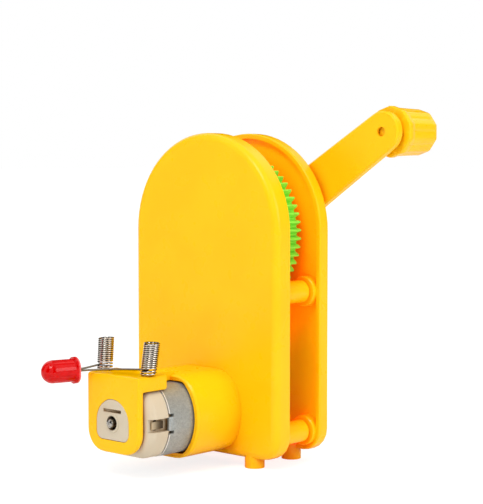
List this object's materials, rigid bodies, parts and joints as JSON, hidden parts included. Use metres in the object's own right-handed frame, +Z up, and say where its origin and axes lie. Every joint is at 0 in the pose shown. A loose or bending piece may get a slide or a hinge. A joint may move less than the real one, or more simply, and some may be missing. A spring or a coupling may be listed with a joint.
{
  "type": "hand crank generator",
  "caption": "Hand crank generator: a crank turns a gear train between two arched plates, and a small motor lights a diode held in spring clips.",
  "frame": {"origin": "centre of the bounding box's base, on the surface that the feet stand on", "axes": "+Z up from the feet, +Y from the motor back along the shafts to the crank, +X to the right seen from the motor's end"},
  "size_m": [0.062, 0.0712, 0.0789],
  "materials": {
    "yellow_moulding": "satin moulded",
    "green_nylon": "moulded",
    "white_nylon": "moulded",
    "zinc_plated_steel": "drawn and plated",
    "bright_steel": "polished",
    "spring_steel": "bright drawn wire",
    "sintered_bronze": "sintered",
    "copper": "bare and enamelled",
    "dark_ferrite": "ground",
    "red_epoxy": "clear cast"
  },
  "bodies": {
    "stator": {"front_shell": "yellow_moulding", "rear_shell": "yellow_moulding", "compound_axle": "bright_steel", "motor_can": "zinc_plated_steel", "motor_end_cap": "white_nylon", "front_bush": "sintered_bronze", "rear_bush": "sintered_bronze", "magnet_left": "dark_ferrite", "magnet_right": "dark_ferrite", "brush_left": "copper", "brush_right": "copper", "spring_left": "spring_steel", "spring_right": "spring_steel", "led_lens": "red_epoxy", "led_leg_left": "spring_steel", "led_leg_right": "spring_steel"},
    "crank": {"crank_shaft": "bright_steel", "crank_gear": "green_nylon", "crank_arm": "yellow_moulding", "crank_screw": "bright_steel", "knob_pin": "yellow_moulding"},
    "knob": {"crank_knob": "yellow_moulding"},
    "idler": {"compound_gear": "green_nylon"},
    "rotor": {"motor_pinion": "white_nylon", "motor_shaft": "bright_steel", "armature_core": "zinc_plated_steel", "winding_1": "copper", "winding_2": "copper", "winding_3": "copper", "commutator": "copper"}
  },
  "joints": [
    {"name": "crank_turn", "type": "hinge", "parent": "stator", "child": "crank", "pos_m": [-0.00929, 0, 0.05096], "axis": [0, 1, 0], "continuous": true},
    {"name": "knob_spin", "type": "hinge", "parent": "crank", "child": "knob", "pos_m": [0.02559, 0.03, 0.07332], "axis": [0, 1, 0], "continuous": true},
    {"name": "idler_turn", "type": "hinge", "parent": "stator", "child": "idler", "pos_m": [-0.00929, 0, 0.03037], "axis": [0, 1, 0], "continuous": true},
    {"name": "rotor_turn", "type": "hinge", "parent": "stator", "child": "rotor", "pos_m": [-0.00929, 0, 0.0121], "axis": [0, 1, 0], "continuous": true}
  ],
  "couplings": [
    {"joint": "idler_turn", "follows": "crank_turn", "ratio": -4.9167},
    {"joint": "rotor_turn", "follows": "crank_turn", "ratio": 26.058}
  ]
}
